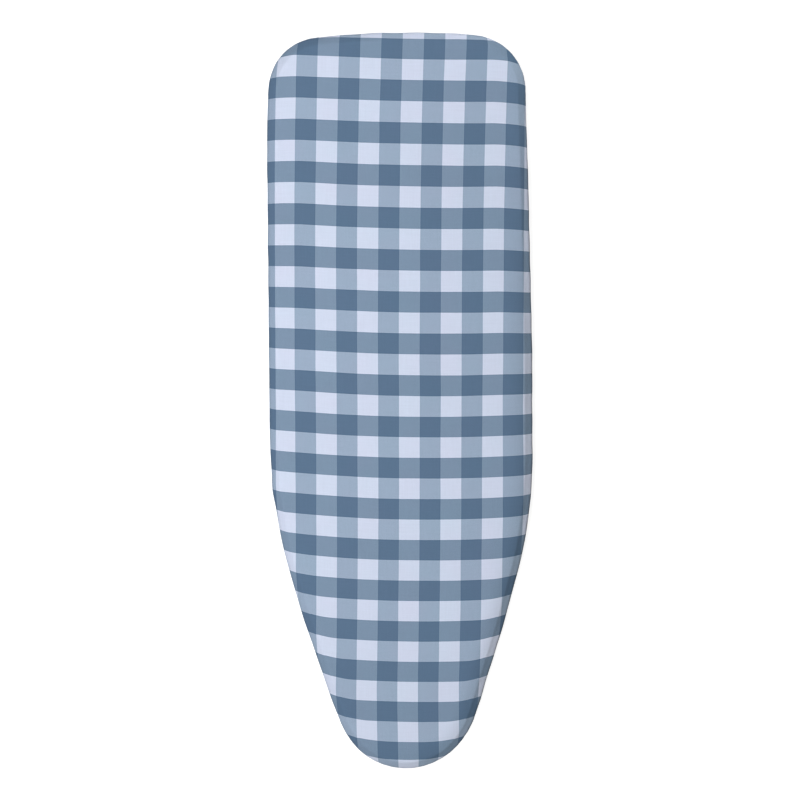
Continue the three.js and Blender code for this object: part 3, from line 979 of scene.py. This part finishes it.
bindingPiece, hemStitches, elasticPiece = makeHem()
for piece, node, slot in ((bindingPiece, "hem_binding", "binding"), (elasticPiece, "hem_elastic", "elastic")):
    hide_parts(node)
    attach(piece, "cover")
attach(hemStitches, "cover")
print("hem: binding, elastic and stitches")

# Padding: foam over felt, each a flat layer with its own rim
layers = {
    "foam": {"low": 21.5, "waves": 0.1},
    "felt": {
        "low": 19.2,
        "high": 21.2,
        "inset": 4.0,
        "waves": 0.16,
        "followsCrown": 1.6,  # how far the rim draws in for each millimetre that the top sinks beside it
    },
}


def makeLayer(name, inset, height, waves, sink, material):
    # Rings from the spine out over the top, round the rim, given as grids of inset and height, and back to
    # the spine below. sink is how far each station's rim lies below the top.
    s = sparse
    spine = spineOf(s, coverCloth["spineTail"], coverCloth["spineNose"])
    edges = ringPoints(s, inset + unevenAt(s)[None], height)
    share = np.linspace(0, 1, 9)[:-1, None, None] ** 0.7
    sides = []
    for edge, drop in ((edges[0], sink), (edges[-1], 0.0)):
        flat = spine[None] + (edge[:, :2] - spine)[None] * share
        x, y = flat[..., 0], flat[..., 1]
        fromRim = (1 - share[..., 0]) * np.linalg.norm(edge[:, :2] - spine, axis=-1)[None]
        drift = np.sin(x / 23 + y / 41) * np.sin(y / 31 - x / 57)
        level = edge[:, 2] + waves * drift * smooth((1 - share[..., 0]) / 0.25)
        level = level + drop * (1 - np.clip(1 - fromRim / coverCloth["crownReach"], 0, 1) ** 2)
        sides.append(np.concatenate([flat, level[..., None]], -1))
    grid = np.concatenate([sides[0], edges, sides[1][::-1]])
    return addShell(name, grid, grid[..., :2], "sheet", material, 50)


def makePadding():
    # The foam's rim follows the roll of the cloth at a gap; the felt's rim is a half round.
    foam, felt = layers["foam"], layers["felt"]
    out, down = rollPath()
    run = np.concatenate([[0], np.cumsum(np.hypot(np.diff(out), np.diff(down)))])
    tilt = np.arctan2(np.gradient(down), np.gradient(out))
    gap = coverCloth["paddingGap"]
    under = coverCloth["top"] - down - gap * np.cos(tilt)
    reached = under[:, None] - crownAt(sparse, -run[:, None]) > foam["low"] + 0.5
    at = np.linspace(0, 1, 10)[:, None] * run[reached.sum(0) - 1]
    inset = coverCloth["topRoll"] - np.interp(at, run, out) + gap * np.sin(np.interp(at, run, tilt))
    height = np.interp(at, run, under) - crownAt(sparse, -at)
    inset = np.vstack([inset, inset[-1:] + 0.4])
    height = np.vstack([height, height[-1:] * 0 + foam["low"]])
    sink = crownAt(sparse, 0.0)
    foamPiece = makeLayer("foamPad", inset, height, foam["waves"], sink, foamMaterial())
    turn = np.linspace(math.pi / 2, -math.pi / 2, 9)[:, None]
    radius = (felt["high"] - felt["low"]) / 2
    inset = felt["inset"] + radius - radius * np.cos(turn) + felt["followsCrown"] * sink
    height = felt["low"] + radius + radius * np.sin(turn) + 0 * sparse["x"]
    return foamPiece, makeLayer("feltBacking", inset, height, felt["waves"], 0.0, feltMaterial())


foamPiece, feltPiece = makePadding()
for piece, node, slot in ((foamPiece, "foam_pad", "foam"), (feltPiece, "felt_backing", "felt")):
    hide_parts(node)
    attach(piece, "cover")
print("foam pad and felt backing")

# Cross straps: webbing sewn to the left of the hem, and closed by hooks on a looped tab at the right
strap = {
    "thickness": 1.0,
    "width": 25.0,
    "necking": 0.35,
    "softness": 4.0,  # how gently the webbing bends
    "patchThickness": 0.36,
    "patchRadius": 3.0,
    "seamInset": 1.6,
    "patchSoftness": (0.12, 0.14),  # how far the edges of the hook and the loop patch are rounded
    "pileInset": 1.3,
    "hookPitch": (1.3, 1.55),
    "loopPitch": (1.15, 1.15),
    "boxReach": (1.6, 8.0),  # from the hem's edge to the near and far side of a stitched box
    "boxInset": 2.2,
    "hemLean": {"nose": 0.25, "middle": 0.0, "tail": -0.03},  # slope of the hem beside each strap
}


def makeRibbon(name, x, height, width, centreY, material):
    # The section is a flat bar with rounded edges, swept along x at a height; end rings close flat.
    half, thick = width / 2, strap["thickness"] / 2
    run = runAlong(np.stack([x, height], 1))
    slope = np.arctan2(np.gradient(height), np.gradient(x))
    flat = np.linspace(-1, 1, 9) * 0.962
    edge = np.array([0.99, 1.0, 0.99])
    across = np.concatenate([flat, edge, flat[::-1], -edge, flat[:1]])
    lift = np.concatenate([np.ones(9), [0.72, 0, -0.72], -np.ones(9), [-0.72, 0, 0.72], [1]])
    lift = lift * thick * (1 - 0.08 * np.cos(6 * math.pi * across))
    rows = np.concatenate([[0], np.arange(len(x)), [len(x) - 1]])
    closed = np.ones(len(rows))
    closed[[0, -1]] = 0
    out = lift[None] * closed[:, None]
    grid = np.stack(
        [
            x[rows, None] - out * np.sin(slope[rows, None]),
            centreY + across[None] * half[rows, None],
            height[rows, None] + out * np.cos(slope[rows, None]),
        ],
        -1,
    )
    pairs = np.stack(np.broadcast_arrays(run[rows, None], across[None] * half.max()), -1)
    return addShell(name, grid, pairs, "tape", material, 50)


def roundedBlock(name, low, high, radius, soft, material):
    # Rounded rectangles stacked from the middle of the underside to the middle of the top
    turn = np.concatenate([np.linspace(k, k + 1, 7) for k in range(4)] + [[0]]) * math.pi / 2
    corner = np.concatenate([np.repeat([[1, 1], [-1, 1], [-1, -1], [1, -1]], 7, 0), [[1, 1]]])
    middle, half = (low + high) / 2, (high - low) / 2
    outline = corner * (half[:2] - radius) + radius * np.stack([np.cos(turn), np.sin(turn)], 1)
    shrink = np.array([0, 0.5, 0.85, 1, 1, 1, 1, 1, 1, 0.85, 0.5, 0])
    inset = soft * np.array([1, 1, 1, 1, 0.3, 0, 0, 0.3, 1, 1, 1, 1])
    rise = np.array([-1, -1, -1, -1, -1 + 0.7 * soft / half[2], -1 + 1.5 * soft / half[2]])
    rise = np.concatenate([rise, -rise[::-1]])
    flat = outline[None] * shrink[:, None, None] * (1 - inset[:, None, None] / half[:2])
    height = np.broadcast_to((middle[2] + half[2] * rise)[:, None, None], (*flat.shape[:2], 1))
    grid = np.concatenate([flat + middle[:2], height], -1)
    return addShell(name, grid, grid[..., :2], "sheet", material, 50)


def seamRectangle(low, high, inset, height):
    # Four straight seams at an inset from the sides of a rectangle
    x0, y0, x1, y1 = low[0] + inset, low[1] + inset, high[0] - inset, high[1] - inset
    corners = np.array([[x0, y0, height], [x1, y0, height], [x1, y1, height], [x0, y1, height]])
    return [np.linspace(corners[k], corners[(k + 1) % 4], 40) for k in range(4)]


def addPile(name, low, high, base, up, pitch, shape, seed, spread, material):
    # Copies of a small shape in staggered rows over a rectangle, each turned and scaled a little at random
    dice = np.random.default_rng(seed)
    columns, rows = (np.arange(low[k] + 1.2, high[k] - 1.1, pitch[k]) for k in range(2))
    x, y = np.meshgrid(columns, rows, indexing="ij")
    x = x + pitch[0] / 2 * (np.arange(x.shape[1])[None] % 2) + dice.normal(0, 0.12 * spread + 0.02, x.shape)
    y = y + dice.normal(0, 0.12 * spread + 0.02, y.shape)
    inside = (x < high[0] - 1.1).ravel()
    x, y = x.ravel()[inside], y.ravel()[inside]
    turn = dice.uniform(-math.pi, math.pi, len(x)) * spread + dice.normal(0, 0.06, len(x))
    flip = np.where(np.arange(len(x)) % 2 == 0, 0, math.pi)
    size = dice.uniform(0.82, 1.1, len(x))[:, None]
    alongs = np.stack([np.cos(turn + flip), np.sin(turn + flip), 0 * turn], 1) * size
    origins = np.stack([x, y, np.full(len(x), base)], 1)
    ups = np.zeros_like(origins)
    ups[:, 2] = up * size[:, 0]
    return addCopies(name, shape, origins, alongs, ups, material)


webbingFinish = webbingMaterial()
hookFinish, loopFinish = hookMaterial(), loopMaterial()
hookShape = tubeShape(
    [[0, 0], [0, 0.28], [0.06, 0.46], [0.22, 0.56], [0.38, 0.5], [0.44, 0.36]],
    [0.13, 0.1, 0.09, 0.09, 0.085, 0.07],
    4,
)
loopShape = tubeShape(
    [[-0.3, 0], [-0.36, 0.3], [-0.18, 0.58], [0.18, 0.6], [0.38, 0.32], [0.3, 0]],
    [0.06] * 6,
    4,
)


def nodeBox(name):
    # A CAD node's corners in millimetres
    low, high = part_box(name)
    return np.array(low) / mm, np.array(high) / mm


def makeStrap(end, seed):
    # The webbing lies at the height of its fold, then bends to run level over the patches. Its bend is the
    # mean of a broken line moved a little to and fro.
    node = end + "_strap_"
    body = end + "_strap"
    hinge = next(j["pos_m"] for j in frame["record"]["behaviour"]["joints"] if j["name"] == body + "_hinge")
    hingeX, centreY, rootHeight = (v / mm for v in hinge)
    anchorLow, anchorHigh = nodeBox(node + "anchor")
    webLow, webHigh = nodeBox(node + "web")
    tabLow, tabHigh = nodeBox(node + "tab")
    loopLow, loopHigh = nodeBox(node + "loop_patch")
    hookLow, hookHigh = nodeBox(node + "hook_patch")

    levelFrom = loopLow[0] - 9.5
    levelHeight = webLow[2] + strap["thickness"] / 2
    x = np.concatenate(
        [
            np.linspace(anchorLow[0], hingeX - 3, 7)[:-1],
            np.linspace(hingeX - 3, hingeX + 3, 19),
            np.linspace(hingeX + 3, webHigh[0], 84)[1:],
        ]
    )
    bends = [hingeX - 60, hingeX, levelFrom, webHigh[0] + 60]
    knots = (bends, [rootHeight, rootHeight, levelHeight, levelHeight])
    offsets = np.linspace(-1, 1, 9) * strap["softness"]
    height = np.mean([np.interp(x + d, *knots) for d in offsets], 0)
    height = height + 0.12 * np.sin((x - levelFrom) / 7) * smooth((x - levelFrom - 8) / 10)
    span = np.clip((x - hingeX) / (levelFrom - hingeX), 0, 1)
    width = strap["width"] - strap["necking"] * np.sin(math.pi * span)
    height = np.maximum(height, levelHeight - 0.1)
    webbingPiece = makeRibbon(end + "Webbing", x, height, width, centreY, webbingFinish)
    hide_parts(node + "anchor", node + "web")
    (hingeX - 2) * mm
    centreY * mm
    rootHeight * mm
    (hingeX + 2) * mm
    centreY * mm
    rootHeight * mm
    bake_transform(webbingPiece)

    x = np.linspace(tabLow[0], tabHigh[0], 28)
    height = (tabLow[2] + tabHigh[2]) / 2 + 0.06 * np.sin((x - tabLow[0]) / 5)
    tab = makeRibbon(end + "Tab", x, height, np.full(28, strap["width"]), centreY, webbingFinish)
    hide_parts(node + "tab")

    hookSoft, loopSoft = strap["patchSoftness"]
    radius, pile = strap["patchRadius"], strap["pileInset"]
    hookTop = hookLow[2] + strap["patchThickness"]
    low, high = hookLow - (0, 0, 0.12), np.array([*hookHigh[:2], hookTop])
    hookPatch = roundedBlock(end + "HookPatch", low, high, radius, hookSoft, hookFinish)
    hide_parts(node + "hook_patch")
    low, high, base, pitch = hookLow + pile, hookHigh - pile, hookTop - 0.05, strap["hookPitch"]
    hooks = addPile(end + "Hooks", low, high, base, 1, pitch, hookShape, seed, 0.0, hookFinish)
    loopUnder = loopHigh[2] - strap["patchThickness"]
    low, high = np.array([*loopLow[:2], loopUnder]), loopHigh + (0, 0, 0.2)
    loopPatch = roundedBlock(end + "LoopPatch", low, high, radius, loopSoft, loopFinish)
    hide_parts(node + "loop_patch")
    low, high, base, pitch = loopLow + pile, loopHigh - pile, loopUnder + 0.05, strap["loopPitch"]
    loops = addPile(end + "Loops", low, high, base, -1, pitch, loopShape, seed + 1, 1.0, loopFinish)

    seam = strap["seamInset"]
    pitch, length = sewing["strapPitch"], sewing["strapLength"]
    webUnder = levelHeight - strap["thickness"] / 2
    hookSeams = seamRectangle(hookLow, hookHigh, seam, webUnder - 0.02)
    hookSeams = hookSeams + seamRectangle(hookLow, hookHigh, seam, hookTop)
    strapStitches = addStitches(end + "StrapStitches", hookSeams, (0, 0, 1), pitch, length, threadFinish)
    tabSeams = seamRectangle(loopLow, loopHigh, seam, loopUnder)
    tabSeams = tabSeams + seamRectangle(loopLow, loopHigh, seam, tabHigh[2])
    # a crossed box at each end of the strap, through webbing and hem, seen on the underside of the hem
    boxes = []
    for edge, away in ((hingeX - 0.4, -1), (tabHigh[0] - (hingeX - anchorLow[0]) + 0.4, 1)):
        inner, outer = (edge + reach * away for reach in strap["boxReach"])
        lean = (anchorHigh[1] - anchorLow[1]) * strap["hemLean"][end] * away
        halfBox = strap["width"] / 2 - strap["boxInset"]
        low, high = centreY - halfBox, centreY + halfBox
        corners = np.array([[inner, low], [outer, low], [outer + lean, high], [inner + lean, high]])
        corners = np.hstack([corners, np.full((4, 1), -0.02)])
        # its four sides and its two diagonals
        for a, b in ((0, 1), (1, 2), (2, 3), (3, 0), (0, 2), (1, 3)):
            boxes.append(np.linspace(corners[a], corners[b], 30))
    hemBoxes = addStitches(end + "HemStitches", boxes, (0, 0, -1), pitch, length, threadFinish)
    tabStitches = addStitches(end + "TabStitches", tabSeams, (0, 0, 1), pitch, length, threadFinish)
    for piece, slot in ((hookPatch, "hook_tape"), (hooks, "hook_tape"), (strapStitches, "webbing")):
        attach(piece, body)
    onCover = (
        (tab, "webbing"),
        (loopPatch, "loop_tape"),
        (loops, "loop_tape"),
        (tabStitches, "webbing"),
        (hemBoxes, "binding"),
    )
    for piece, slot in onCover:
        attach(piece, "cover")


for number, end in enumerate(("nose", "middle", "tail")):
    makeStrap(end, 50 + 10 * number)
print("three cross straps")

# Floor and light
studio = {
    "floorSize": 3.0,
    "floorGlow": 0.87,
    "floorWhite": 0.4,
    "skyLight": 0.28,
    "groundLight": 0.11,
    "groundTint": (1.0, 0.9, 0.6),
    "rightShade": 3.0,
    "keyPlace": (-0.3, 0.04, 0.95),  # a long soft box over the left rim
    "keySize": (2.0, 0.3),
    "keyPower": 12.0,
    "fillPlace": (0.45, 0.85, 0.12),  # low beyond the right tail corner
    "fillSize": (0.5, 0.2),
    "fillPower": 2.1,
    "lowPlace": (-0.7, -0.5, -1.6),  # from under the floor, for views of the underside
    "lowSize": (0.8, 0.8),
    "lowPower": 22.0,
}


def seenByEye(r):
    # 1 for what the camera sees, also in a gloss or through glass
    ways = ("Is Camera Ray", "Is Glossy Ray", "Is Transmission Ray")
    camera, glossy, through = [r.node("ShaderNodeLightPath", {}, {}, way) for way in ways]
    return camera.math("MAXIMUM", camera.math("MAXIMUM", camera, glossy), through)


def addStudio():
    # The world is white for whoever looks at it, and lights the object from the sky more than from below.
    world = bpy.data.worlds.new("studio")
    bpy.context.scene.world = world
    world.use_nodes = True
    r = Recipe("studio", tree=world.node_tree)
    seen = seenByEye(r)
    direction = r.node("ShaderNodeTexCoord", {}, {}, "Generated")
    height = r.node("ShaderNodeSeparateXYZ", {}, {"Vector": direction}, "Z")
    side = r.node("ShaderNodeSeparateXYZ", {}, {"Vector": direction}, "X")
    upward = (2.0 * height + 0.5 - studio["rightShade"] * side).held()
    light = studio["groundLight"] + (studio["skyLight"] - studio["groundLight"]) * upward
    strength = seen + (1 - seen) * light
    background = r.tree.nodes["Background"]
    tint = r.mixed(seen.math("MAXIMUM", seen, upward), studio["groundTint"], (1, 1, 1))
    r.tree.links.new(tint.socket, background.inputs["Color"])
    r.tree.links.new(strength.socket, background.inputs["Strength"])
    for name in ("key", "fill", "low"):
        data = bpy.data.lights.new(name + "Lamp", "AREA")
        data.shape = "RECTANGLE"
        data.size, data.size_y = studio[name + "Size"]
        data.energy = studio[name + "Power"]
        lamp = bpy.data.objects.new(name + "Lamp", data)
        lamp.location = studio[name + "Place"]
        lamp.rotation_mode = "QUATERNION"
        # each lamp faces the line down the middle of the cover, straight across from its own place
        fromLine = mathutils.Vector((lamp.location.x, 0, lamp.location.z))
        lamp.rotation_quaternion = fromLine.to_track_quat("Z", "Y")
        lamp.visible_camera = False
        bpy.context.scene.collection.objects.link(lamp)


def addFloor():
    # A white sheet that is seen from above only, so that the underside can be looked at from below
    half = studio["floorSize"] / 2 / mm
    corners = np.array([[-half, -half, -0.2], [half, -half, -0.2], [half, half, -0.2], [-half, half, -0.2]])
    r = Recipe("whiteFloor", roughness=1.0, specular=0.0)
    white = studio["floorWhite"]
    r.shader.inputs["Base Color"].default_value = (white, white, white, 1)
    glow = seenByEye(r) * studio["floorGlow"]
    r.tree.links.new(glow.socket, r.shader.inputs["Emission Strength"])
    r.shader.inputs["Emission Color"].default_value = (1, 1, 1, 1)
    clear = r.node("ShaderNodeBsdfTransparent", {}, {})
    under = r.node("ShaderNodeNewGeometry", {}, {}, "Backfacing")
    mixer = r.tree.nodes.new("ShaderNodeMixShader")
    r.tree.links.new(under.socket, mixer.inputs[0])
    r.tree.links.new(r.shader.outputs[0], mixer.inputs[1])
    r.tree.links.new(clear.socket, mixer.inputs[2])
    r.tree.links.new(mixer.outputs[0], r.tree.nodes["Material Output"].inputs["Surface"])
    floor = addPiece("whiteFloor", corners, np.array([[0, 1, 2, 3]]), ("sheet", np.zeros((4, 2))), r.material)
    floor.visible_diffuse = False
    floor.visible_shadow = False


addStudio()
addFloor()
bpy.context.scene.view_settings.view_transform = "Standard"
print("floor and light")
